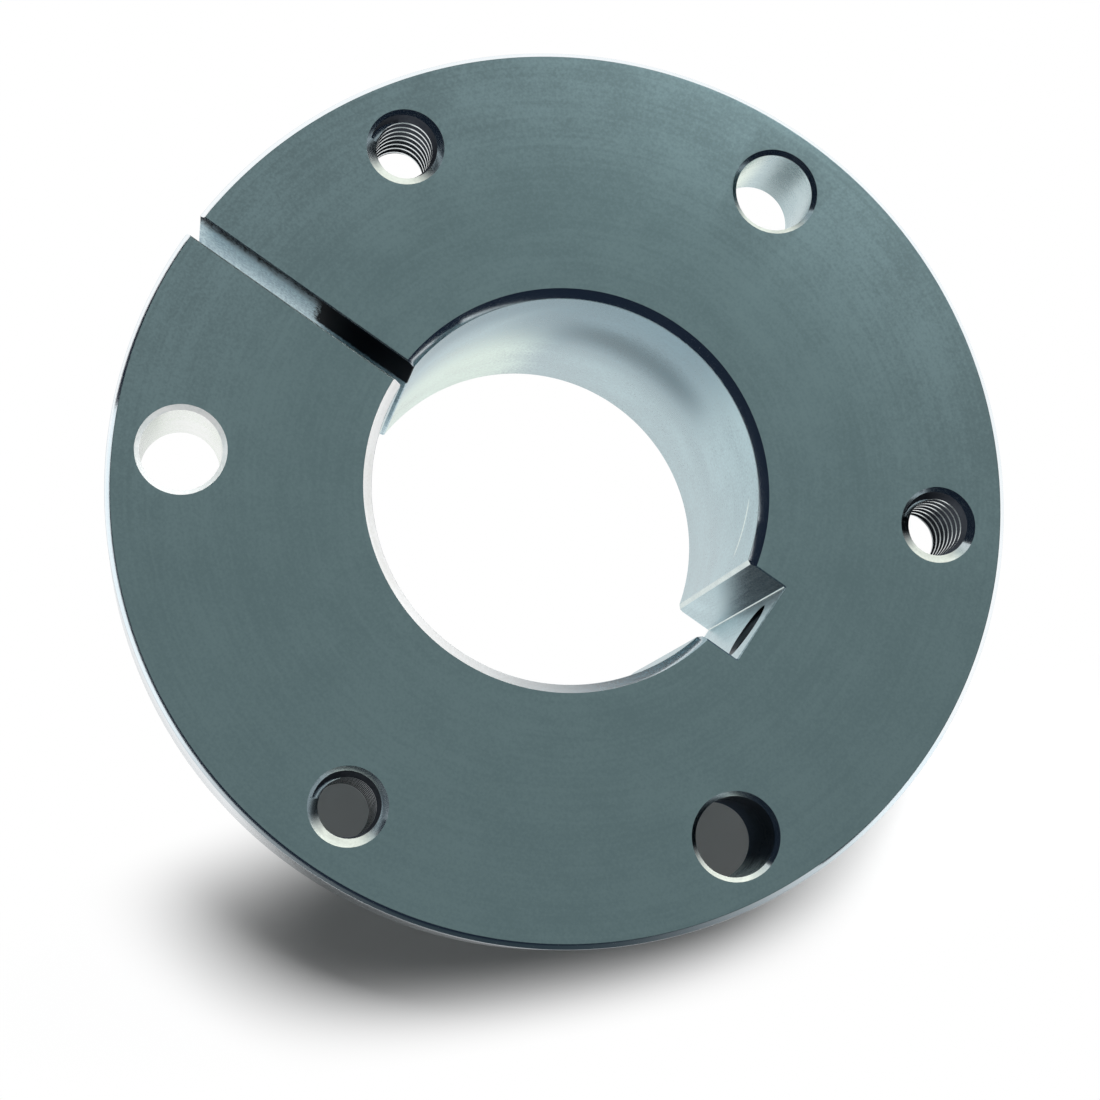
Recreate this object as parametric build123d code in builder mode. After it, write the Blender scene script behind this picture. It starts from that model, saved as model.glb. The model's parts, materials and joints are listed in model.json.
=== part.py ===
from build123d import *
import math
import os

# Split flanged taper bush, turned from one piece of steel. Millimetres.
# Origin: centre of the barrel's small end, which the bush stands on.
# +Z runs up the bore to the flange face. The keyway is at +X and the split at -X.

INCH = 25.4

# Bore and overall form, with the barrel measured where it meets the flange
bore_diameter = 1.375 * INCH
overall_length = 1.3125 * INCH
flange_thickness = 0.4375 * INCH
barrel_diameter = 2.1875 * INCH
taper_on_diameter = 0.75 / 12

# How far the screw circle lies outside the barrel, and the rim outside the screw circle
barrel_to_screws = 0.25 * INCH
screws_to_rim = 0.25 * INCH

# Keyway over the shaft key, its depth measured down its side wall
keyway_width = 0.3125 * INCH
keyway_depth = 0.15625 * INCH
keyway_edge_break = 0.3

# Saw cut that lets the bush close on the shaft
split_width = 2.0

# Six face holes on one circle: three plain ones for the cap screws that pull the bush in,
# and three tapped ones between them, for the same screws when they jack it out again
screws_per_set = 3
clearance_diameter = 0.28125 * INCH
clearance_mouth_diameter = 8.0
tap_drill_diameter = 5.11
tapped_mouth_diameter = 7.0
mouth_angle = 90

# Radial tapped hole for the set screw that holds the key
set_screw_drill_diameter = 5.11
set_screw_mouth_diameter = 7.0

# Edge breaks and the turned inside corner
bore_chamfer = 0.8
rim_chamfer = 0.5
barrel_chamfer = 0.8
hole_exit_chamfer = 0.3
corner_radius = 0.8

# Sizes that follow
bore_radius = bore_diameter / 2
flange_back = overall_length - flange_thickness
flange_middle = overall_length - flange_thickness / 2
barrel_large_radius = barrel_diameter / 2
barrel_small_radius = barrel_large_radius - flange_back * taper_on_diameter / 2
screw_circle_radius = barrel_large_radius + barrel_to_screws
flange_radius = screw_circle_radius + screws_to_rim
keyway_mouth = math.sqrt(bore_radius**2 - (keyway_width / 2) ** 2)
keyway_floor = keyway_mouth + keyway_depth
screw_spacing = 360 / screws_per_set
tapped_start = screw_spacing / 4
clearance_start = tapped_start + screw_spacing / 2
flange_face_plane = Plane.XY.offset(overall_length)
set_screw_plane = Plane(origin=(flange_radius, 0, flange_middle), x_dir=(0, 1, 0), z_dir=(1, 0, 0))

with BuildPart() as taper_bush:
    # Turned blank: a half section from the bore out to the flange rim, spun about the axis
    with BuildSketch(Plane.XZ) as half_section:
        with BuildLine():
            Polyline(
                (bore_radius, 0),
                (barrel_small_radius, 0),
                (barrel_large_radius, flange_back),
                (flange_radius, flange_back),
                (flange_radius, overall_length),
                (bore_radius, overall_length),
                close=True,
            )
        make_face()
        chamfer(half_section.vertices().group_by(Axis.X)[0], bore_chamfer)
        chamfer(half_section.vertices().group_by(Axis.X)[-1], rim_chamfer)
        barrel_nose = (barrel_small_radius, 0)
        chamfer(half_section.vertices().sort_by_distance(barrel_nose)[0], barrel_chamfer)
        inside_corner = (barrel_large_radius, flange_back)
        fillet(half_section.vertices().sort_by_distance(inside_corner)[0], corner_radius)
    revolve(axis=Axis.Z)

    # Keyway, broached through the whole bore, its long edges broken
    with BuildSketch():
        with Locations((keyway_floor / 2, 0)):
            Rectangle(keyway_floor, keyway_width)
    extrude(amount=overall_length, mode=Mode.SUBTRACT)
    upright_edges = taper_bush.edges().filter_by(Axis.Z)
    keyway_lips = upright_edges.filter_by(lambda edge: abs(edge.center().X - keyway_mouth) < 0.01)
    chamfer(keyway_lips, keyway_edge_break)

    # Split, sawn through one side from the bore out to the rim
    with BuildSketch():
        with Locations((-flange_radius, 0)):
            Rectangle(2 * flange_radius, split_width)
    extrude(amount=overall_length, mode=Mode.SUBTRACT)

    # Plain holes for the cap screws, their mouths on the flange face
    with Locations(flange_face_plane):
        with PolarLocations(screw_circle_radius, screws_per_set, clearance_start):
            CounterSinkHole(
                radius=clearance_diameter / 2,
                counter_sink_radius=clearance_mouth_diameter / 2,
                depth=flange_thickness,
                counter_sink_angle=mouth_angle,
            )

    # Tapped holes between them, drilled to the size left under the thread
    with Locations(flange_face_plane):
        with PolarLocations(screw_circle_radius, screws_per_set, tapped_start):
            CounterSinkHole(
                radius=tap_drill_diameter / 2,
                counter_sink_radius=tapped_mouth_diameter / 2,
                depth=flange_thickness,
                counter_sink_angle=mouth_angle,
            )

    # The same holes where they leave the back of the flange
    hole_rings = taper_bush.edges().filter_by(GeomType.CIRCLE)
    hole_rings = hole_rings.filter_by(lambda edge: edge.radius < clearance_diameter)
    hole_exits = hole_rings.filter_by(lambda edge: abs(edge.center().Z - flange_back) < 0.01)
    chamfer(hole_exits, hole_exit_chamfer)

    # Radial tapped hole, from the flange rim down into the keyway
    with Locations(set_screw_plane):
        CounterSinkHole(
            radius=set_screw_drill_diameter / 2,
            counter_sink_radius=set_screw_mouth_diameter / 2,
            depth=flange_radius,
            counter_sink_angle=mouth_angle,
        )

taper_bush.part.label = "taper_bush"

os.makedirs("parts", exist_ok=True)
export_step(taper_bush.part, "parts/taper_bush.step")
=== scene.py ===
# %% [markdown]
# # A split taper bush in machined steel
# The real object is one turned piece of steel: a round flange on a short tapered barrel, bored
# through for a shaft. It has a keyway, a saw cut from the bore to the rim, three plain and three
# tapped holes in its face, and a small tapped hole that runs in from the rim to the keyway.
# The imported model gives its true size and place, so every length here comes from that model or is
# one of the few named sizes below.

# %% Load the frame
import json
import math

import bmesh
import bpy
from mathutils import Matrix, Vector


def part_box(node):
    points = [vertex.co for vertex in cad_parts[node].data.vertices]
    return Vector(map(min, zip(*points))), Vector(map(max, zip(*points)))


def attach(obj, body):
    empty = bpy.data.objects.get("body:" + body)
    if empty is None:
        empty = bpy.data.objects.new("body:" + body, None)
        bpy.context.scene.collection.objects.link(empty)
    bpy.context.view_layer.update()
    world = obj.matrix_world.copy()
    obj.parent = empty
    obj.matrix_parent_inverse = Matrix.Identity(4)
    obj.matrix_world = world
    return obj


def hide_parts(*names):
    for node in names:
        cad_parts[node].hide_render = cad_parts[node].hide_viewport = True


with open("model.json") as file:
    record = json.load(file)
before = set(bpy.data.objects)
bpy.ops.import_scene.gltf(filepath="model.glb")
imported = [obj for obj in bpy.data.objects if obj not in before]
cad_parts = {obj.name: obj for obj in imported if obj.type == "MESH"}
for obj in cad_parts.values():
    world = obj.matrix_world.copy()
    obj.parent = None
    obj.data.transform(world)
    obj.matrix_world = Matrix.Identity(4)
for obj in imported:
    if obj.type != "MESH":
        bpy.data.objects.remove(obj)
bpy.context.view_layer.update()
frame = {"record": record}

# %% [markdown]
# ## Sizes
# The record's mounts say where the bore, the face holes and the flat faces are. The rest of the
# sizes are not mounts, so they are written here once, in millimetres, and turned into metres.

# %% Sizes from the frame, and the named ones beside them
MM = 0.001
mounts = {mount["name"]: mount for mount in frame["record"]["mounts"]}
flange_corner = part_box("taper_bush")[1]
face_height = flange_corner.z
rim_radius = flange_corner.y
flange_back = mounts["flange_back"]["pos_m"][2]
flange_thickness = face_height - flange_back
flange_middle = mounts["set_screw_hole"]["pos_m"][2]
bore_radius = mounts["bore"]["dims"]["r_mm"] * MM
plain_radius = mounts["cap_screw_holes"]["dims"]["hole_r_mm"] * MM
drill_radius = mounts["jack_screw_hole_1"]["dims"]["r_mm"] * MM
screw_circle_radius = mounts["cap_screw_holes"]["dims"]["pcd_mm"] / 2 * MM
tapped_places = [Vector(mounts[f"jack_screw_hole_{number}"]["pos_m"]) for number in (1, 2, 3)]

BARREL_RADIUS = 27.78125 * MM
TAPER_ON_RADIUS = 1 / 32
KEYWAY_HALF_WIDTH = 3.96875 * MM
KEYWAY_DEPTH = 3.96875 * MM
KEYWAY_LIP = 0.3 * MM
SPLIT_HALF_WIDTH = 1.0 * MM
BORE_CHAMFER = 0.8 * MM
RIM_CHAMFER = 0.5 * MM
BARREL_CHAMFER = 0.8 * MM
CORNER_RADIUS = 0.8 * MM
PLAIN_MOUTH_RADIUS = 4.0 * MM
TAPPED_MOUTH_RADIUS = 3.5 * MM
HOLE_EXIT_CHAMFER = 0.3 * MM
EDGE_BREAK = 0.12 * MM

barrel_small_radius = BARREL_RADIUS - flange_back * TAPER_ON_RADIUS
keyway_mouth = math.sqrt(bore_radius**2 - KEYWAY_HALF_WIDTH**2)
keyway_floor = keyway_mouth + KEYWAY_DEPTH
print("rim radius", round(rim_radius / MM, 3), "keyway floor at", round(keyway_floor / MM, 3))

# %% [markdown]
# ## Writing shader maths as Python
# A finish mixes a few noises, and its maths reads best as an expression. One class wraps an output
# socket and turns the operators into Math nodes. Any other node comes from one method, which takes
# the node's type, its settings and what its sockets get.

# %% A socket with operators, and a finish that makes nodes
class Value:
    """An output socket of a finish. The operators on it add Math nodes."""

    def __init__(self, finish, socket):
        self.finish = finish
        self.socket = socket

    def math(self, operation, *values):
        return self.finish.node("ShaderNodeMath", {"operation": operation}, dict(enumerate(values)))

    def __add__(self, other):
        return self.math("ADD", self, other)

    def __radd__(self, other):
        return self.math("ADD", other, self)

    def __sub__(self, other):
        return self.math("SUBTRACT", self, other)

    def __rsub__(self, other):
        return self.math("SUBTRACT", other, self)

    def __mul__(self, other):
        return self.math("MULTIPLY", self, other)

    def __rmul__(self, other):
        return self.math("MULTIPLY", other, self)

    def __truediv__(self, other):
        return self.math("DIVIDE", self, other)

    def __rtruediv__(self, other):
        return self.math("DIVIDE", other, self)


class Finish:
    """The node tree of a material or a world, with a short way to make and join its nodes."""

    def __init__(self, owner):
        owner.use_nodes = True
        self.owner = owner
        self.tree = owner.node_tree

    def node(self, kind, settings, sockets, output=0):
        made = self.tree.nodes.new(kind)
        for name, setting in settings.items():
            setattr(made, name, setting)
        for name, value in sockets.items():
            if isinstance(value, Value):
                self.tree.links.new(value.socket, made.inputs[name])
            else:
                made.inputs[name].default_value = value
        return Value(self, made.outputs[output])

    def between(self, factor, first, second):
        """A colour that goes from the first to the second as the factor goes from 0 to 1."""
        first, second = [c if isinstance(c, Value) else (*c, 1) for c in (first, second)]
        sockets = {0: factor, 6: first, 7: second}
        return self.node("ShaderNodeMix", {"data_type": "RGBA"}, sockets, output=2)

    def step(self, value, low, high):
        """0 below the low value, 1 above the high one, and a smooth step between them."""
        sockets = {"Value": value, "From Min": low, "From Max": high}
        return self.node("ShaderNodeMapRange", {"interpolation_type": "SMOOTHSTEP"}, sockets)

    def position(self):
        """The x, y and z on the object, in metres."""
        place = self.node("ShaderNodeTexCoord", {}, {}, output="Object")
        return [self.node("ShaderNodeSeparateXYZ", {}, {0: place}, output=axis) for axis in "XYZ"]

    def noise(self, x, y, z, detail=2.0, roughness=0.5):
        """A soft random value about 0.5, with one blot to each unit of x, y and z."""
        place = self.node("ShaderNodeCombineXYZ", {}, {"X": x, "Y": y, "Z": z})
        sockets = {"Vector": place, "Scale": 1.0, "Detail": detail, "Roughness": roughness}
        return self.node("ShaderNodeTexNoise", {}, sockets)


# %% [markdown]
# ## Steel, cut in several ways
# The whole part is one steel, but each tool leaves its own surface. A turned face has fine rings
# round the axis. A bore or rim has the same rings, seen from the side, each at its own height. A
# broach leaves straight lines along the keyway, and a saw leaves rough ones along the cut. So each
# finish is the same metal with streaks in another direction, and its colour, roughness and bump all
# come from those streaks, a slow mottle and a fine grain.

# %% The streaks that a tool leaves
def rings(x, y, z, spacing, arc):
    """Marks round the axis on a flat face: fine outwards, slow round the part."""
    radius = x.math("SQRT", x * x + y * y)
    return radius / spacing, x / radius * arc, y / radius * arc


def turns(x, y, z, spacing, arc):
    """Marks round the axis on an upright wall: fine up the wall, slow round it."""
    radius = x.math("SQRT", x * x + y * y)
    return z / spacing, x / radius * arc, y / radius * arc


def strokes_up(x, y, z, spacing, length):
    """Straight marks along the axis, as a broach or a saw leaves."""
    return x / spacing, y / spacing, z / length


# %% The metal that every finish shares
BAND_WIDTH = 20
GRAIN_SIZE = 0.22 * MM
CLOUD_SIZE = 5.0 * MM
TONE_RANGE = (0.36, 0.64)
MIDDLE_TONE = 0.5
MARK_DARKEN, MARK_LIGHTEN = 0.85, 1.15
MARKS_IN_BUMP, GRAIN_IN_BUMP = 0.8, 0.2


def steel(name, dark, light, roughness, spread, bump, streaks, spacing, length,
          shares=(0.3, 0.3, 0.2, 0.2), stains_and_painted_light=()):
    """A machined steel between two colours, with the marks that its tool leaves.

    The shares say how much of its tone comes from bands, clouds, marks and grain. Each painted
    highlight, sheen or shade, or scratch, is a function of the place, the colour that it goes to there,
    and how metallic it still is.
    """
    finish = Finish(bpy.data.materials.new(name))
    x, y, z = finish.position()
    marks = finish.noise(*streaks(x, y, z, spacing, length), detail=3.0)
    bands = finish.noise(*streaks(x, y, z, spacing * BAND_WIDTH, length / 2), detail=2.0)
    clouds = finish.noise(x / CLOUD_SIZE, y / CLOUD_SIZE, z / CLOUD_SIZE, detail=4.0)
    grain = finish.noise(x / GRAIN_SIZE, y / GRAIN_SIZE, z / GRAIN_SIZE, detail=1.0)
    tone = bands * shares[0] + clouds * shares[1] + marks * shares[2] + grain * shares[3]
    light_side = finish.step(tone, *TONE_RANGE)
    mottle = tone - MIDDLE_TONE
    shader = finish.tree.nodes["Principled BSDF"]
    shader.inputs["Metallic"].default_value = 1.0
    shader.inputs["Specular IOR Level"].default_value = 0.0
    colour = finish.between(light_side, dark, light)
    metal = 1.0
    # each painted highlight, sheen or shade, or the scratch, is mixed in here
    for strength, mark_tint, metallic in stains_and_painted_light:
        amount = strength(finish, x, y, z, mottle)
        tint_dark = [MARK_DARKEN * part for part in mark_tint]
        tint_light = [min(1, MARK_LIGHTEN * part) for part in mark_tint]
        colour = finish.between(amount, colour, finish.between(light_side, tint_dark, tint_light))
        if metallic < 1:
            metal = metal * (1 - amount * (1 - metallic))
            finish.tree.links.new(metal.socket, shader.inputs["Metallic"])
    height = marks * MARKS_IN_BUMP + grain * GRAIN_IN_BUMP
    links = {
        "Base Color": colour,
        "Roughness": roughness + mottle * spread,
        "Normal": finish.node("ShaderNodeBump", {}, {"Distance": bump, "Height": height}),
    }
    for socket, value in links.items():
        finish.tree.links.new(value.socket, shader.inputs[socket])
    return finish.owner


# %% [markdown]
# ## Painted light and shade on the steel
# Most of these marks are painted light and shade in the colour: a painted sheen on the face, painted
# highlights on edges and walls, and painted shade in the bore, the holes, the keyway and the split.
# One is a thin pale scratch. A picture could be wrapped round the mesh for this, but the holes would
# cut it up. So each mark is a function that gives 0 on clean steel and 1 in the mark, and it reads
# only the place on the part: an angle round the axis, a height, or the distance from a line. The
# mottle, about 0 on average, makes its border uneven.

# %% Angles round the axis and round each hole
def facing(x, y, azimuth):
    """The cosine of the angle round the axis from an azimuth in degrees."""
    azimuth = math.radians(azimuth)
    return (x * math.cos(azimuth) + y * math.sin(azimuth)) / x.math("SQRT", x * x + y * y)


def mouth_side(x, y, azimuth):
    """The same round the nearest of the six face holes."""
    sixth = math.radians(60)
    nearest = x.math("ROUND", x.math("ARCTAN2", y, x) / sixth - 0.5) * sixth + sixth / 2
    off_x = x - x.math("COSINE", nearest) * screw_circle_radius
    off_y = y - x.math("SINE", nearest) * screw_circle_radius
    return facing(off_x, off_y, azimuth)


# %% Painted sheen and highlights of the face and its edges
def painted_sheen_outside(finish, x, y, z, mottle):
    """Painted sheen: the face is a little brighter towards the rim, on the side between +Y and the
    split.
    """
    radius = x.math("SQRT", x * x + y * y)
    return finish.step(radius, 24 * MM, 38 * MM) * finish.step(facing(x, y, 125), -0.4, 0.6)


def painted_mouth_highlight(finish, x, y, z, mottle):
    """Painted highlight: each hole's mouth is bright on its -Y side."""
    return finish.step(mouth_side(x, y, 292), 0.35, 0.92)


def painted_break_highlight(finish, x, y, z, mottle):
    """Painted highlight: the bore's edge is bright on the -Y side, most of all near the split."""
    radius = x.math("SQRT", x * x + y * y)
    inner = (1 - finish.step(radius, 22 * MM, 24 * MM)) * (1 - finish.step(y, -1 * MM, 1 * MM))
    return inner * finish.step(facing(x, y, 205), -0.9, 0.8)


# %% Painted shade and highlights of the bore, and a scratch
def painted_bore_shade(finish, x, y, z, mottle):
    """Painted shade: the bore is darker on its +Y side, and near the face as far round as the split."""
    side = finish.step(facing(x, y, 103) + mottle * 0.3, 0.70, 0.96)
    side = side * finish.step(z + mottle * 6 * MM, 9 * MM, 19 * MM)
    top = finish.step(facing(x, y, 143) + mottle * 0.2, 0.78, 0.96)
    top = top * finish.step(z + mottle * 4 * MM, 23 * MM, 30 * MM)
    return x.math("MAXIMUM", side, top)


def painted_crescent_shade(finish, x, y, z, mottle):
    """Painted shade: a darker crescent within the bore's painted shade."""
    off = x.math("ABSOLUTE", z - 21 * MM) + mottle * 6 * MM
    return (1 - finish.step(off, 0.0, 6 * MM)) * finish.step(facing(x, y, 95) + mottle * 0.1, 0.85, 0.99)


def painted_bore_highlight(finish, x, y, z, mottle):
    """Painted highlight: next to the split the bore is pale, away from the face."""
    side = finish.step(facing(x, y, 158) + mottle * 0.3, 0.76, 0.97)
    return side * (1 - finish.step(z + mottle * 14 * MM, 11 * MM, 25 * MM))


def pale_streak(finish, x, y, z, mottle):
    """A thin pale scratch that climbs the bore beside the keyway."""
    off = x.math("ABSOLUTE", z - 24.9 * MM - facing(x, y, 111) * 15.2 * MM) + mottle * 0.4 * MM
    return (1 - finish.step(off, 0.05 * MM, 0.4 * MM)) * finish.step(facing(x, y, 27), 0.988, 0.996)


# %% Painted highlights and shade of the holes, the keyway and the split
def painted_wall_highlight(finish, x, y, z, mottle):
    """Painted highlight: each plain hole is pale on its -X side."""
    return finish.step(mouth_side(x, y, 186) + mottle * 0.4, 0.40, 0.92)


def painted_hole_highlight(finish, x, y, z, mottle):
    """Painted highlight: the plain hole next to the split is pale all round, its mouth too."""
    return finish.step(facing(x, y, 210), 0.96, 0.98)


def painted_hole_shade(finish, x, y, z, mottle):
    """Painted shade: the plain hole beside the keyway is dark, least on the side away from it."""
    hole = finish.step(facing(x, y, -30), 0.96, 0.98)
    return hole * (1 - 0.8 * finish.step(facing(x, y, -34.5) + mottle * 0.01, 0.990, 0.999))


def painted_keyway_shade(finish, x, y, z, mottle):
    """Painted shade: the keyway's side walls go dark towards the flange face."""
    wall = finish.step(x.math("ABSOLUTE", y), KEYWAY_HALF_WIDTH * 0.97, KEYWAY_HALF_WIDTH * 0.99)
    slant = (x - 18.5 * MM) * 4
    return wall * finish.step(z + slant + mottle * 16 * MM, 13 * MM, 30 * MM) * (0.92 + mottle * 1.2)


def painted_split_shade(finish, x, y, z, mottle):
    """Painted shade: the split is black in the barrel and just under the face."""
    inner = 1 - finish.step(x.math("ABSOLUTE", x) + mottle * 3 * MM, 27.3 * MM, 28.1 * MM)
    inner = inner * finish.step(z + mottle * 3 * MM, face_height - 7.9 * MM, face_height - 7.4 * MM)
    top = finish.step(z + mottle * 8 * MM, face_height - 3.4 * MM, face_height + 0.2 * MM)
    return x.math("MAXIMUM", inner, top)


# %% [markdown]
# ## The finishes of this part
# Each finish has a dark and a light colour, a roughness and how far it varies, the depth of its
# marks, their kind, spacing and length, and the painted light and shade on it. Steel is a metal, so
# its colour is the tint of what it mirrors. Where a painted mark is given as less metallic, part of
# it is matt: it scatters light, and mirrors the room less. The near-black thread groove is painted
# shade.

# %% The finishes of this part
MICRON = 1e-6
finishes = {finish.name: finish for finish in (
    # the face carries a painted sheen towards the rim
    steel("turned_face", (0.095, 0.144, 0.152), (0.115, 0.171, 0.179), 0.40, 0.3,
          2 * MICRON, rings, 0.35 * MM, 2.5, shares=(0.13, 0.28, 0.23, 0.36),
          stains_and_painted_light=((painted_sheen_outside, (0.120, 0.175, 0.185), 1),)),
    # the bore's edge carries a painted highlight
    steel("turned_edge", (0.86, 0.92, 0.95), (0.95, 0.98, 1.0), 0.10, 0.04,
          0.3 * MICRON, turns, 0.3 * MM, 2.0, stains_and_painted_light=((painted_break_highlight, (1.0, 1.0, 0.97), 0.1),)),
    steel("turned_rim", (0.48, 0.54, 0.58), (0.62, 0.68, 0.72), 0.17, 0.1,
          2 * MICRON, turns, 0.3 * MM, 2.0),
    # the countersinks carry a painted highlight on their mouths
    steel("countersink", (0.46, 0.53, 0.56), (0.58, 0.65, 0.68), 0.15, 0.05,
          0.3 * MICRON, turns, 0.3 * MM, 30.0, stains_and_painted_light=(
              (painted_mouth_highlight, (0.80, 0.86, 0.78), 0.2),
              (painted_hole_highlight, (0.93, 1.0, 1.0), 0.2),
          )),
    # the bore carries painted shade and painted highlights, and a thin pale scratch
    steel("reamed_bore", (0.28, 0.40, 0.44), (0.44, 0.60, 0.64), 0.30, 0.3,
          4 * MICRON, turns, 0.45 * MM, 3.0, shares=(0.22, 0.22, 0.14, 0.42), stains_and_painted_light=(
              (painted_bore_shade, (0.19, 0.30, 0.35), 1),
              (painted_crescent_shade, (0.060, 0.140, 0.175), 1),
              (painted_bore_highlight, (0.66, 0.80, 0.72), 1),
              (pale_streak, (0.70, 0.80, 0.76), 1),
          )),
    steel("ground_taper", (0.24, 0.29, 0.30), (0.32, 0.38, 0.39), 0.36, 0.3,
          2 * MICRON, turns, 0.3 * MM, 3.0),
    # the keyway's side walls carry painted shade
    steel("broached_keyway", (0.33, 0.46, 0.50), (0.56, 0.72, 0.76), 0.34, 0.3,
          6 * MICRON, strokes_up, 0.25 * MM, 12 * MM, shares=(0.2, 0.2, 0.2, 0.4),
          stains_and_painted_light=((painted_keyway_shade, (0.034, 0.060, 0.084), 0.4),)),
    # the split carries painted shade in the barrel and under the face
    steel("sawn_split", (0.25, 0.39, 0.46), (0.68, 0.84, 0.88), 0.42, 0.4,
          9 * MICRON, strokes_up, 0.3 * MM, 3 * MM, shares=(0.12, 0.13, 0.25, 0.5),
          stains_and_painted_light=((painted_split_shade, (0.014, 0.018, 0.026), 0.15),)),
    steel("filed_edge", (0.46, 0.56, 0.56), (0.64, 0.74, 0.72), 0.25, 0.2,
          1 * MICRON, strokes_up, 0.3 * MM, 8 * MM),
    # the plain holes carry painted highlights on their walls and painted shade in one hole
    steel("drilled_hole", (0.36, 0.48, 0.51), (0.55, 0.68, 0.70), 0.28, 0.3,
          3 * MICRON, turns, 0.3 * MM, 30.0, stains_and_painted_light=(
              (painted_wall_highlight, (0.76, 0.88, 0.78), 1),
              (painted_hole_highlight, (0.90, 0.98, 0.88), 1),
              (painted_hole_shade, (0.022, 0.032, 0.048), 0.1),
          )),
    steel("thread_crest", (0.66, 0.73, 0.75), (0.84, 0.89, 0.90), 0.22, 0.2,
          1 * MICRON, turns, 0.3 * MM, 30.0),
    # painted shade: the thread grooves are near black, darker than the steel round them
    steel("thread_groove_shade", (0.035, 0.040, 0.050), (0.060, 0.068, 0.080), 0.35, 0.2,
          1 * MICRON, turns, 0.3 * MM, 30.0),
)}
print("finishes:", ", ".join(finishes))

# %% [markdown]
# ## The turned blank
# On the lathe this part starts as a half section that turns about its axis, and it is made the same
# way here: a few corners joined by a closed wire. The inside corner gets its radius and every other
# corner a hair of an edge break, by bevelling the wire's points, and a full spin makes the solid.

# %% Helpers for wires, corners and spins
MERGE = 1e-7


def piece_from(name, shape, *materials):
    """An object at the origin from a bmesh, closed and with its faces turned outwards."""
    bmesh.ops.remove_doubles(shape, verts=shape.verts, dist=MERGE)
    bmesh.ops.recalc_face_normals(shape, faces=shape.faces)
    mesh = bpy.data.meshes.new(name)
    shape.to_mesh(mesh)
    shape.free()
    for material in materials:
        mesh.materials.append(finishes[material])
    piece = bpy.data.objects.new(name, mesh)
    bpy.context.scene.collection.objects.link(piece)
    return piece


def wire(shape, points, closed):
    """Joins points given as (outwards, up) with edges in the XZ plane, and returns the corners."""
    corners = [shape.verts.new((outwards, 0, up)) for outwards, up in points]
    for first, second in zip(corners, corners[1:] + corners[:1] * closed):
        shape.edges.new((first, second))
    return corners


def round_corners(shape, corners, size, segments):
    bmesh.ops.bevel(
        shape, geom=corners, offset=size, affect="VERTICES",
        segments=segments, profile=0.5, material=-1,
    )


def full_turn(shape, steps):
    """Spins the wire once round the Z axis."""
    geometry = shape.verts[:] + shape.edges[:]
    bmesh.ops.spin(shape, geom=geometry, axis=(0, 0, 1), angle=math.tau, steps=steps, use_merge=True)


# %% Spin the half section
SPIN_STEPS = 256
CORNER_SEGMENTS = 10
BREAK_SEGMENTS = 3
FINE_BREAK = 0.06 * MM
RIM_SEGMENTS = 5
RIM_ROUNDING = 0.04 * MM

blank = bmesh.new()
inside_corner = (BARREL_RADIUS, flange_back)
section = wire(blank, [
    (bore_radius, BORE_CHAMFER),
    (bore_radius + BORE_CHAMFER, 0),
    (barrel_small_radius - BARREL_CHAMFER, 0),
    (barrel_small_radius + BARREL_CHAMFER * TAPER_ON_RADIUS, BARREL_CHAMFER),
    inside_corner,
    (rim_radius - RIM_CHAMFER, flange_back),
    (rim_radius, flange_back + RIM_CHAMFER),
    (rim_radius, face_height - RIM_CHAMFER),
    (rim_radius - RIM_CHAMFER, face_height),
    (bore_radius + BORE_CHAMFER, face_height),
    (bore_radius, face_height - BORE_CHAMFER),
], closed=True)
fine_corners, rim_corners = section[:4] + section[5:7] + section[10:], section[7:9]
round_corners(blank, fine_corners, FINE_BREAK, BREAK_SEGMENTS)
round_corners(blank, rim_corners, RIM_ROUNDING, RIM_SEGMENTS)
inside = [v for v in blank.verts if (v.co.xz - Vector(inside_corner)).length < MERGE]
round_corners(blank, inside, CORNER_RADIUS, CORNER_SEGMENTS)
full_turn(blank, SPIN_STEPS)
blank_finishes = ("turned_face", "turned_edge", "turned_rim", "reamed_bore", "ground_taper")
machined_bush = piece_from("machined_bush", blank, *blank_finishes)
print("blank faces:", len(machined_bush.data.polygons))

# %% Which cut made which face of the blank
FACE_LIKE = 0.75


def blank_finish(face):
    """The finish of one face of the blank, from where it lies."""
    outwards = face.center.xy.length
    height = face.center.z
    if height > face_height - RIM_ROUNDING and face.normal.z > FACE_LIKE:
        return "turned_face"
    if outwards < bore_radius + MERGE:
        return "reamed_bore"
    if outwards > rim_radius - RIM_ROUNDING:
        return "turned_rim"
    if height > face_height - BORE_CHAMFER:
        return "turned_edge"
    return "ground_taper"


for face in machined_bush.data.polygons:
    face.material_index = blank_finishes.index(blank_finish(face))
counts = {name: 0 for name in blank_finishes}
for face in machined_bush.data.polygons:
    counts[blank_finishes[face.material_index]] += 1
print("faces of each finish:", counts)

# %% [markdown]
# ## Cutting into the blank
# The keyway, the split and the holes are cuts, so each is a tool with the shape of the metal that it
# takes away, and a Boolean takes it from the blank. The tool carries the finish that it leaves, and
# the Boolean hands that finish to the new faces. A tool is a little longer than the metal, and it
# flares by an edge break where it comes out, because a real edge there is filed and never sharp.

# %% The Boolean cut
OVERRUN = 1.0 * MM


def cut(piece, tool):
    """Takes the tool's shape out of the piece, with the tool's finish on the new faces."""
    modifier = piece.modifiers.new("cut", "BOOLEAN")
    modifier.object = tool
    modifier.solver = "MANIFOLD"
    modifier.material_mode = "TRANSFER"
    depsgraph = bpy.context.evaluated_depsgraph_get()
    cut_mesh = bpy.data.meshes.new_from_object(piece.evaluated_get(depsgraph))
    piece.modifiers.clear()
    whole_mesh = piece.data
    piece.data = cut_mesh
    bpy.data.meshes.remove(whole_mesh)
    bpy.data.objects.remove(tool)


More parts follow.
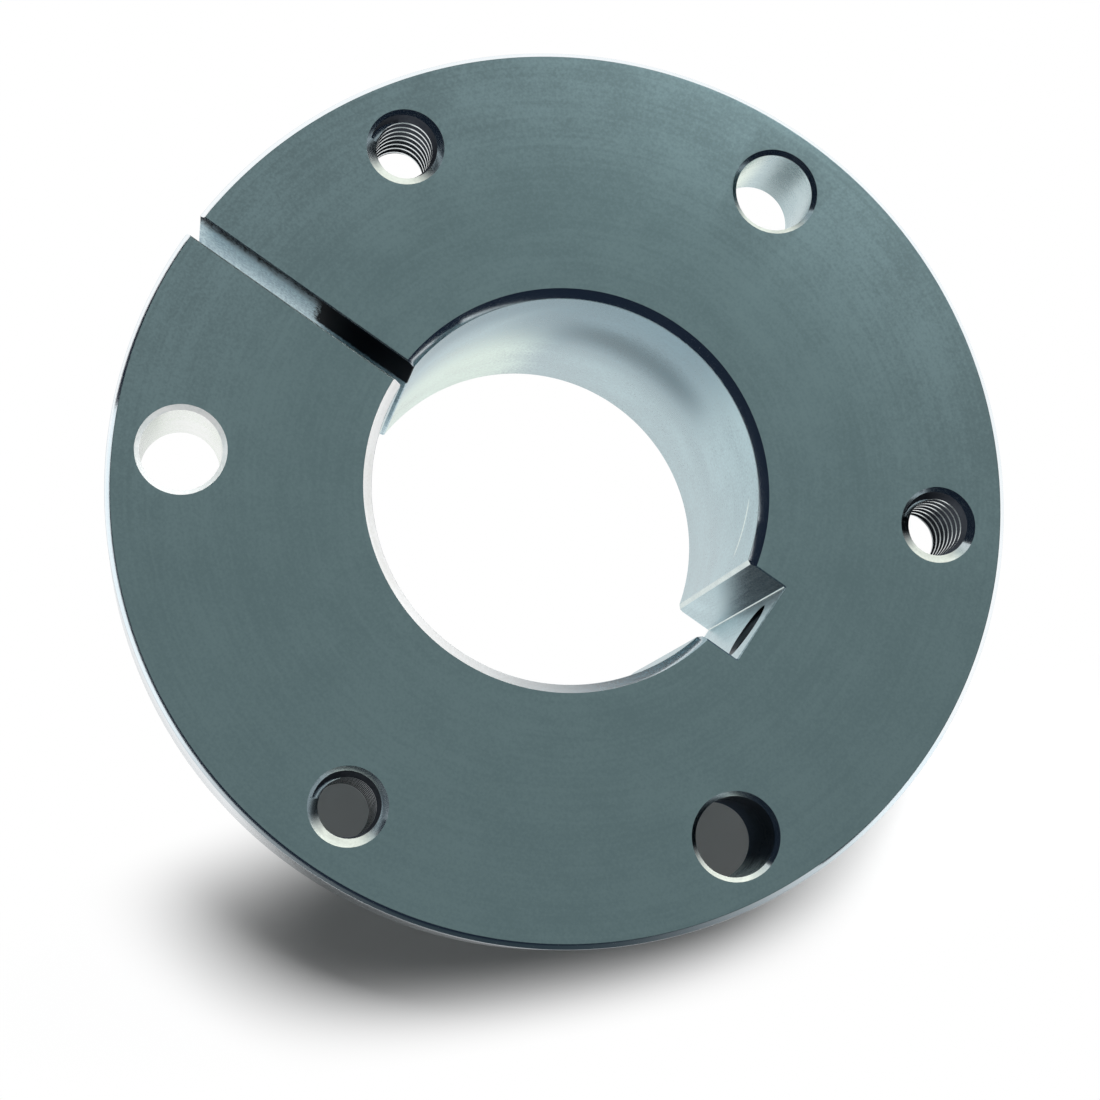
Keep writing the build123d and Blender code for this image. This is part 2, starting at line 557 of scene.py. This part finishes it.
# %% A cut from end to end
def slab(name, outline, *materials):
    """A cut from end to end with an outline seen from above, flared at both faces."""
    shape = bmesh.new()
    end = shape.faces.new([shape.verts.new((x, y, -OVERRUN)) for x, y in outline])
    grown = bmesh.ops.extrude_face_region(shape, geom=[end])["geom"]
    far_corners = [part for part in grown if isinstance(part, bmesh.types.BMVert)]
    bmesh.ops.translate(shape, vec=(0, 0, face_height + 2 * OVERRUN), verts=far_corners)
    for height in (EDGE_BREAK, face_height - EDGE_BREAK):
        everything = shape.verts[:] + shape.edges[:] + shape.faces[:]
        bmesh.ops.bisect_plane(shape, geom=everything, plane_co=(0, 0, height), plane_no=(0, 0, 1))
    middle = sum((Vector(corner) for corner in outline), Vector((0, 0))) / len(outline)
    flare = OVERRUN + EDGE_BREAK
    for corner in shape.verts:
        if not 0 < corner.co.z < face_height:
            corner.co.x += math.copysign(flare, corner.co.x - middle.x)
            corner.co.y += math.copysign(flare, corner.co.y - middle.y)
    return piece_from(name, shape, *materials)


def mirrored(side):
    """A closed outline from its half on the +Y side."""
    return side + [(x, -y) for x, y in reversed(side)]


# %% The broached keyway
KEYWAY_FILLET = 0.12 * MM
FILLET_STEPS = 4
UPRIGHT = 0.5

lip_slope = KEYWAY_HALF_WIDTH / bore_radius
lip_end = (keyway_mouth - KEYWAY_LIP * lip_slope, KEYWAY_HALF_WIDTH + KEYWAY_LIP)
lip_start = (keyway_mouth + KEYWAY_LIP, KEYWAY_HALF_WIDTH)
lip_past = [2 * a - b for a, b in zip(lip_end, lip_start)]
fillet_x = keyway_floor - KEYWAY_FILLET
fillet_y = KEYWAY_HALF_WIDTH - KEYWAY_FILLET
fillet_turns = [math.pi / 2 * step / FILLET_STEPS for step in range(FILLET_STEPS + 1)]
fillet = [
    (fillet_x + KEYWAY_FILLET * math.sin(turn), fillet_y + KEYWAY_FILLET * math.cos(turn))
    for turn in fillet_turns
]
keyway_outline = mirrored([lip_past, lip_start] + fillet)
broach = slab("keyway_broach", keyway_outline, "broached_keyway", "filed_edge")
for face in broach.data.polygons:
    out, aside = face.center.x, abs(face.center.y)
    lip = out < keyway_mouth + KEYWAY_LIP / 2 and aside > KEYWAY_HALF_WIDTH
    corner = out > fillet_x and aside > fillet_y
    face.material_index = int((lip or corner) and abs(face.normal.z) < UPRIGHT)
cut(machined_bush, broach)
print("faces with the keyway:", len(machined_bush.data.polygons))

# %% The sawn split
FLARED = (0.3, 0.9)

flare_width = SPLIT_HALF_WIDTH + OVERRUN + EDGE_BREAK
split_outline = mirrored([
    (-rim_radius - OVERRUN, flare_width),
    (-rim_radius + EDGE_BREAK, SPLIT_HALF_WIDTH),
    (-bore_radius - FINE_BREAK, SPLIT_HALF_WIDTH),
    (-bore_radius + OVERRUN, flare_width),
])
saw = slab("split_saw", split_outline, "sawn_split", "filed_edge")
for face in saw.data.polygons:
    face.material_index = int(FLARED[0] < abs(face.normal.z) < FLARED[1])
cut(machined_bush, saw)
print("faces with the keyway and the split:", len(machined_bush.data.polygons))

# %% [markdown]
# ## The holes
# A drill with a countersink is again a profile spun about its axis. It is drawn once with its mouth
# at the origin and the hole going down, and then put in its place. The tapped holes also get a real
# helical groove: a four-cornered section of one thread, spun up its axis by one pitch each turn.

# %% The drill
DRILL_STEPS = 96


def drill(name, place, radius, mouth, depth, exit_chamfer, material):
    """A countersunk drill. Its mouth is at the place's origin and it points down the place's Z."""
    shape = bmesh.new()
    wire(shape, [
        (0, OVERRUN),
        (mouth + OVERRUN, OVERRUN),
        (radius, radius - mouth),
        (radius, exit_chamfer - depth),
        (radius + exit_chamfer + OVERRUN, -depth - OVERRUN),
        (0, -depth - OVERRUN),
    ], closed=False)
    full_turn(shape, DRILL_STEPS)
    for face in shape.faces:
        face.material_index = int(face.calc_center_median().z > radius - mouth)
    bmesh.ops.transform(shape, matrix=place, verts=shape.verts)
    return piece_from(name, shape, material, "countersink")


# %% The tap
THREAD_STEPS = 40
THREAD_RADIUS = 3.175 * MM
THREAD_PITCH = 1.27 * MM
THREAD_ROOT_HALF = 0.08 * MM
THREAD_CREST_HALF = 0.54 * MM
THREAD_INNER = 0.1 * MM
TURNS_BELOW = 2
TURNS_BEYOND = 3


def tap(name, place, depth, material):
    """A helical groove of one thread form, from below the hole to above its mouth."""
    shape = bmesh.new()
    inner = drill_radius - THREAD_INNER
    start = -depth - TURNS_BELOW * THREAD_PITCH
    wire(shape, [
        (inner, start - THREAD_CREST_HALF),
        (THREAD_RADIUS, start - THREAD_ROOT_HALF),
        (THREAD_RADIUS, start + THREAD_ROOT_HALF),
        (inner, start + THREAD_CREST_HALF),
    ], closed=True)
    turns_needed = math.ceil(depth / THREAD_PITCH) + TURNS_BEYOND
    bmesh.ops.spin(
        shape, geom=shape.verts[:] + shape.edges[:], axis=(0, 0, 1), angle=math.tau * turns_needed,
        steps=THREAD_STEPS * turns_needed, dvec=(0, 0, THREAD_PITCH / THREAD_STEPS),
    )
    ends = [edge for edge in shape.edges if len(edge.link_faces) == 1]
    bmesh.ops.edgeloop_fill(shape, edges=ends)
    bmesh.ops.transform(shape, matrix=place, verts=shape.verts)
    return piece_from(name, shape, material)


# %% Drill and tap the holes
for place in tapped_places:
    mouth_place = Vector((place.x, place.y, face_height))
    plain_place = Vector((-place.x, -place.y, face_height))
    cut(machined_bush, drill(
        "plain_drill", Matrix.Translation(plain_place), plain_radius, PLAIN_MOUTH_RADIUS,
        flange_thickness, HOLE_EXIT_CHAMFER, "drilled_hole",
    ))
    cut(machined_bush, drill(
        "tapping_drill", Matrix.Translation(mouth_place), drill_radius, TAPPED_MOUTH_RADIUS,
        flange_thickness, HOLE_EXIT_CHAMFER, "thread_crest",
    ))
    cut(machined_bush, tap("tap", Matrix.Translation(mouth_place), flange_thickness, "thread_groove_shade"))

rim_place = Matrix.Translation((rim_radius, 0, flange_middle)) @ Matrix.Rotation(math.pi / 2, 4, "Y")
set_screw_depth = rim_radius - keyway_floor
cut(machined_bush, drill(
    "set_screw_drill", rim_place, drill_radius, TAPPED_MOUTH_RADIUS,
    set_screw_depth, MERGE, "thread_crest",
))
cut(machined_bush, tap("set_screw_tap", rim_place, set_screw_depth, "thread_groove_shade"))

shape = bmesh.new()
shape.from_mesh(machined_bush.data)
open_edges = sum(len(edge.link_faces) != 2 for edge in shape.edges)
triangles = sum(len(face.verts) - 2 for face in shape.faces)
steel_volume = round(shape.calc_volume() / MM**3)
print("open edges:", open_edges, " triangles:", triangles, " steel in mm3:", steel_volume)
shape.free()

# %% [markdown]
# ## Shading
# Round walls are smooth and flat faces are flat. A flat face keeps its own normals, so the light on
# it doesn't bend towards the holes, and any edge sharper than a corner's rounding stays crisp.

# %% Flat faces, smooth walls
CRISP_ANGLE = math.radians(25)
LEVEL = 0.9999
FLAT_FINISHES = ("broached_keyway", "sawn_split")


def shade(piece):
    """Smooth shading, but for flat faces and for edges past the crisp angle."""
    names = [material.name for material in piece.data.materials]
    for face in piece.data.polygons:
        level = abs(face.normal.z) > LEVEL
        face.use_smooth = not (level or names[face.material_index] in FLAT_FINISHES)
    piece.data.set_sharp_from_angle(angle=CRISP_ANGLE)


shade(machined_bush)
flat_faces = sum(not face.use_smooth for face in machined_bush.data.polygons)
print("flat faces:", flat_faces, "of", len(machined_bush.data.polygons))
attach(machined_bush, "root")
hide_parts("taper_bush")

# %% [markdown]
# ## The white room
# The bush stands in an even white room. The camera, a mirror and a glass see it as plain white, but
# the light that it sheds on things is much weaker: the Light Path node tells the two kinds of ray
# apart. So the background stays white while the lamps decide how bright the steel is.

# %% The white room
ROOM_LIGHT = 0.095


def seen_directly(finish):
    """1 for what the camera, a reflection or a glass sees, and 0 for light that falls on things."""
    seen = [finish.node("ShaderNodeLightPath", {}, {}, output=f"Is {kind} Ray")
            for kind in ("Camera", "Glossy", "Transmission")]
    return seen[0] + seen[1] + seen[2]


room = Finish(bpy.data.worlds.new("white_room"))
bpy.context.scene.world = room.owner
background = room.tree.nodes["Background"]
background.inputs["Color"].default_value = (1, 1, 1, 1)
room_strength = ROOM_LIGHT + seen_directly(room) * (1 - ROOM_LIGHT)
room.tree.links.new(room_strength.socket, background.inputs["Strength"])
print("share of white that the room sheds as light:", ROOM_LIGHT)

# %% [markdown]
# ## The floor and its shadow
# The photograph's floor is plain white but for one soft shadow beside the flange. So the floor here
# is white paper that takes a shadow in one zone, and glows white everywhere else. The zone is a long
# patch where the shadow falls, the ring where the barrel stands, and the part under the flange that
# joins the two, on the shadow's side. Seen through the bore, the floor is white again.

# %% The floor
FLOOR_HALF = 1.5
PAPER = (0.9, 0.9, 0.9, 1)
PATCH_TURN = math.radians(46)
PATCH_MIDDLE = (7 * MM, -34.3 * MM)
PATCH_HALVES = (78 * MM, 15.5 * MM)
PATCH_EDGE = (0.41, 1.0)
FLANGE_SHADE_SIDE = (-20 * MM, 6 * MM)
flange_shade_edge = (rim_radius - 6 * MM, rim_radius - 2 * MM)
barrel_shade_edge = (barrel_small_radius, BARREL_RADIUS + CORNER_RADIUS)
bore_glow_edge = (keyway_floor, keyway_floor + 2 * MM)

floor_finish = Finish(bpy.data.materials.new("white_floor"))
x, y, z = floor_finish.position()
along = x * math.cos(PATCH_TURN) + y * math.sin(PATCH_TURN)
across = y * math.cos(PATCH_TURN) - x * math.sin(PATCH_TURN)
along_share = (along - PATCH_MIDDLE[0]) / PATCH_HALVES[0]
across_share = (across - PATCH_MIDDLE[1]) / PATCH_HALVES[1]
reach = x.math("SQRT", along_share * along_share + across_share * across_share)
away = x.math("SQRT", x * x + y * y)
patch = 1 - floor_finish.step(reach, *PATCH_EDGE)
footprint = 1 - floor_finish.step(away, *barrel_shade_edge)
shaded_side = 1 - floor_finish.step(across, *FLANGE_SHADE_SIDE)
under_flange = (1 - floor_finish.step(away, *flange_shade_edge)) * shaded_side
outside_bore = floor_finish.step(away, *bore_glow_edge)
joined = x.math("MAXIMUM", x.math("MAXIMUM", patch, footprint), under_flange)
glow_share = seen_directly(floor_finish) * (1 - joined * outside_bore)
glow = floor_finish.node("ShaderNodeEmission", {}, {"Color": (1, 1, 1, 1), "Strength": 1.0})
paper = floor_finish.node("ShaderNodeBsdfDiffuse", {}, {"Color": PAPER})
mixed = floor_finish.node("ShaderNodeMixShader", {}, {0: glow_share, 1: paper, 2: glow})
floor_output = floor_finish.tree.nodes["Material Output"]
floor_finish.tree.links.new(mixed.socket, floor_output.inputs["Surface"])

shape = bmesh.new()
bmesh.ops.create_grid(shape, x_segments=1, y_segments=1, size=FLOOR_HALF)
finishes["white_floor"] = floor_finish.owner
floor = piece_from("floor", shape, "white_floor")
print("floor, metres across:", 2 * FLOOR_HALF)

# %% [markdown]
# ## What the steel mirrors
# A smooth edge shows only what it mirrors, so in an all-white room the chamfers and the mouths of
# the holes would vanish. Curved cards stand round the bush, out of sight, and only reflections see
# them. Dark ones give the thin dark lines. A low card and a sheet on the floor fade from white to
# dark and back, as the rim's lower edge does, and a grey and a bright card tone two short stretches.
# Each card is one edge spun part of the way round, and its angles run from +X towards +Y.

# %% Cards that only reflections see
CARD_STEPS = 48
DARK = (0.010, 0.016, 0.028)
GREY = (0.30, 0.40, 0.43)
BRIGHT = (8, 8, 8)
FADE_PALE = (0.90, 0.97, 1.0)
FADE_DARK = (0.028, 0.042, 0.052)
FADE_AZIMUTH = 301
FADE_COSINES = (0.45, 1.0)


def fading(finish):
    """A colour that is pale at both ends of a card, and dark about its middle."""
    x, y, z = finish.position()
    dark_share = finish.step(facing(x, y, FADE_AZIMUTH), *FADE_COSINES)
    return finish.between(dark_share, FADE_PALE, FADE_DARK)


def card(name, colour, near, far, start, turn):
    """A curved card that only reflections see. Its edges are near and far, given as (outwards, up).

    The colour is three numbers, or a function that makes the colour's nodes.
    """
    glow = Finish(bpy.data.materials.new(name))
    colour = colour(glow) if callable(colour) else (*colour, 1)
    lit = glow.node("ShaderNodeEmission", {}, {"Color": colour, "Strength": 1.0})
    glow.tree.links.new(lit.socket, glow.tree.nodes["Material Output"].inputs["Surface"])
    finishes[name] = glow.owner
    shape = bmesh.new()
    wire(shape, [near, far], closed=False)
    bmesh.ops.rotate(shape, matrix=Matrix.Rotation(math.radians(start), 3, "Z"), verts=shape.verts)
    geometry = shape.verts[:] + shape.edges[:]
    bmesh.ops.spin(shape, geom=geometry, axis=(0, 0, 1), angle=math.radians(turn), steps=CARD_STEPS)
    made = piece_from(name, shape, name)
    made.visible_camera = made.visible_diffuse = made.visible_shadow = False
    return made


# %% Place the cards
CARD_RADIUS = 0.5
ground, low_top, high_top = (CARD_RADIUS, 0.0), (CARD_RADIUS, 0.0625), (CARD_RADIUS, 0.40)
SHEET_HEIGHT = 0.001
card("dark_card", DARK, low_top, high_top, start=-195, turn=257)
card("low_dark_card_left", DARK, ground, low_top, start=-195, turn=30)
card("low_card", fading, ground, low_top, start=-165, turn=155)
card("low_dark_card_right", DARK, ground, low_top, start=-10, turn=72)
card("low_sheet", fading, (0.09, SHEET_HEIGHT), (CARD_RADIUS, SHEET_HEIGHT), start=-120, turn=132)
card("grey_card", GREY, ground, (CARD_RADIUS, 0.09), start=-232, turn=37)
card("bright_card", BRIGHT, (0.45, 0.034), (0.45, 0.10), start=62, turn=36)
print("cards at", CARD_RADIUS, "m, up to", high_top[1], "m high")

# %% [markdown]
# ## A ring that holds back light
# Under the flange the photograph is darker than a wide lamp leaves it. A thin ring just below the
# flange, which neither the camera nor a reflection sees, shades the floor there and nothing else.

# %% The shade ring
shade_height = flange_back - 1 * MM
shade_inner = (BARREL_RADIUS + CORNER_RADIUS, shade_height)
shade_outer = (rim_radius - 1 * MM, shade_height)
shade_ring = card("shade_ring", DARK, shade_inner, shade_outer, start=0, turn=360)
shade_ring.visible_glossy = False
shade_ring.visible_shadow = True
print("shade ring at", round(shade_height / MM, 2), "mm")

# %% [markdown]
# ## The lamps
# A wide lamp, high up on the +Y side, gives the even light and the soft shadow, and the steel
# doesn't mirror it. A small one, close by and lower, does the opposite: it lights nothing, and only
# its sheen shows on the face.

# %% Two soft lamps
def soft_lamp(name, azimuth, elevation, distance, size, power):
    """A square lamp that looks at the bush from an azimuth, counted from +X towards +Y."""
    lamp = bpy.data.lights.new(name, "AREA")
    lamp.size = size
    lamp.energy = power
    holder = bpy.data.objects.new(name, lamp)
    around, up = math.radians(azimuth), math.radians(elevation)
    flat = math.cos(up)
    direction = Vector((math.cos(around) * flat, math.sin(around) * flat, math.sin(up)))
    target = Vector((0, 0, face_height))
    turn = direction.to_track_quat("Z", "Y").to_matrix().to_4x4()
    holder.matrix_world = Matrix.Translation(target + direction * distance) @ turn
    bpy.context.scene.collection.objects.link(holder)
    return holder


key_lamp = soft_lamp("key_lamp", azimuth=104, elevation=74, distance=0.9, size=0.26, power=9.6)
key_lamp.visible_glossy = False
sheen_lamp = soft_lamp("sheen_lamp", azimuth=94, elevation=34, distance=0.2, size=0.06, power=0.112)
sheen_lamp.visible_diffuse = False
print("lamps in watts:", key_lamp.data.energy, round(sheen_lamp.data.energy, 3))

# %% [markdown]
# ## The camera
# The photograph looks down on the flange from a little to one side, from about a quarter of a metre.
# The place, the lens and the small shift were measured from the rim, the bore and the six holes.

# %% Camera
CAMERA_PLACE = Vector((-6.56, -52.24, 256.89)) * MM
CAMERA_TARGET = Vector((6.54, 3.36, 33.34)) * MM
CAMERA_UP = Vector((-0.5751, 0.8012, 0.1656))
LENS = 84.5
SENSOR = 36.0
SHIFT = (-0.0909, -0.0455)
CLIP_START = 0.01

camera_data = bpy.data.cameras.new("camera")
camera_data.lens = LENS
camera_data.sensor_width = SENSOR
camera_data.shift_x, camera_data.shift_y = SHIFT
camera_data.clip_start = CLIP_START
camera = bpy.data.objects.new("camera", camera_data)
backwards = (CAMERA_PLACE - CAMERA_TARGET).normalized()
right = CAMERA_UP.cross(backwards).normalized()
upwards = backwards.cross(right)
turn = Matrix((right, upwards, backwards)).transposed().to_4x4()
camera.matrix_world = Matrix.Translation(CAMERA_PLACE) @ turn
bpy.context.scene.collection.objects.link(camera)
bpy.context.scene.camera = camera
bpy.context.scene.view_settings.view_transform = "Standard"
print("camera distance in millimetres:", round((CAMERA_PLACE - CAMERA_TARGET).length / MM))
